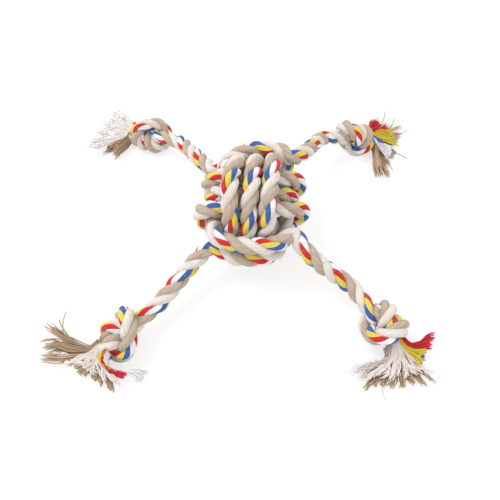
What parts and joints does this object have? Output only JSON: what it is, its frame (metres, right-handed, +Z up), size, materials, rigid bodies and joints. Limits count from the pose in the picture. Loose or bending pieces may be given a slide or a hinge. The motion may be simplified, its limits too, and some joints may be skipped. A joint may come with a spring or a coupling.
{
  "type": "rope dog toy",
  "caption": "Dog toy of thick striped cotton rope: a tight ball of woven turns with arms that end in an overhand knot and a frayed tassel.",
  "frame": {"origin": "on the floor, in the middle of the flat foot under the ball", "axes": "+Z up, square to the floor; +X to the right and +Y away from the viewer as the picture shows the toy"},
  "size_m": [0.2813, 0.2625, 0.0712],
  "materials": {
    "rope": "matte",
    "tan_yarn": "matte",
    "cream_yarn": "matte",
    "white_yarn": "matte",
    "blue_yarn": "matte",
    "red_yarn": "matte",
    "yellow_yarn": "matte"
  },
  "bodies": {
    "ball": {"over_winding": "rope", "side_winding": "rope", "left_bight": "rope", "right_bight": "rope"},
    "arm_front_left": {"arm_front_left_inner": "rope"},
    "end_front_left": {"arm_front_left_outer": "rope", "knot_front_left": "rope", "tassel_front_left_tan": "tan_yarn", "tassel_front_left_tan_under": "tan_yarn", "tassel_front_left_blue": "blue_yarn", "tassel_front_left_cream": "cream_yarn", "tassel_front_left_yellow": "yellow_yarn", "tassel_front_left_red": "red_yarn", "tassel_front_left_white": "white_yarn"},
    "arm_front_right": {"arm_front_right_inner": "rope"},
    "end_front_right": {"arm_front_right_outer": "rope", "knot_front_right": "rope", "tassel_front_right_wisps": "cream_yarn", "tassel_front_right_tan": "tan_yarn", "tassel_front_right_blue": "blue_yarn", "tassel_front_right_white": "white_yarn", "tassel_front_right_cream": "cream_yarn", "tassel_front_right_yellow": "yellow_yarn", "tassel_front_right_red": "red_yarn"},
    "arm_back_left": {"arm_back_left_inner": "rope"},
    "end_back_left": {"arm_back_left_outer": "rope", "knot_back_left": "rope", "tassel_back_left_tan": "tan_yarn", "tassel_back_left_tan_under": "tan_yarn", "tassel_back_left_blue": "blue_yarn", "tassel_back_left_yellow": "yellow_yarn", "tassel_back_left_cream": "cream_yarn", "tassel_back_left_red": "red_yarn", "tassel_back_left_white": "white_yarn"},
    "arm_back_right": {"arm_back_right_inner": "rope"},
    "end_back_right": {"arm_back_right_outer": "rope", "knot_back_right": "rope", "tassel_back_right_tan": "tan_yarn", "tassel_back_right_tan_under": "tan_yarn", "tassel_back_right_white": "white_yarn", "tassel_back_right_blue": "blue_yarn", "tassel_back_right_yellow": "yellow_yarn", "tassel_back_right_red": "red_yarn", "tassel_back_right_wisps": "cream_yarn"}
  },
  "joints": [
    {"name": "front_left_lift", "type": "hinge", "parent": "ball", "child": "arm_front_left", "pos_m": [-0.03221, -0.03141, 0.02196], "axis": [-0.738, 0.6748, 0], "range_deg": [-60, 75]},
    {"name": "front_left_sweep", "type": "hinge", "parent": "arm_front_left", "child": "end_front_left", "pos_m": [-0.04579, -0.04786, 0.01659], "axis": [0, 0, 1], "range_deg": [-45, 45]},
    {"name": "front_right_lift", "type": "hinge", "parent": "ball", "child": "arm_front_right", "pos_m": [0.04794, -0.03151, 0.03335], "axis": [-0.598, -0.8015, 0], "range_deg": [-60, 75]},
    {"name": "front_right_sweep", "type": "hinge", "parent": "arm_front_right", "child": "end_front_right", "pos_m": [0.06507, -0.04032, 0.02283], "axis": [0, 0, 1], "range_deg": [-45, 45]},
    {"name": "back_left_lift", "type": "hinge", "parent": "ball", "child": "arm_back_left", "pos_m": [-0.02966, 0.05474, 0.034], "axis": [0.8356, 0.5494, 0], "range_deg": [-60, 75]},
    {"name": "back_left_sweep", "type": "hinge", "parent": "arm_back_left", "child": "end_back_left", "pos_m": [-0.04071, 0.07271, 0.02777], "axis": [0, 0, 1], "range_deg": [-45, 45]},
    {"name": "back_right_lift", "type": "hinge", "parent": "ball", "child": "arm_back_right", "pos_m": [0.04866, 0.05281, 0.0459], "axis": [0.8406, -0.5417, 0], "range_deg": [-60, 75]},
    {"name": "back_right_sweep", "type": "hinge", "parent": "arm_back_right", "child": "end_back_right", "pos_m": [0.05804, 0.07056, 0.03694], "axis": [0, 0, 1], "range_deg": [-45, 45]}
  ]
}
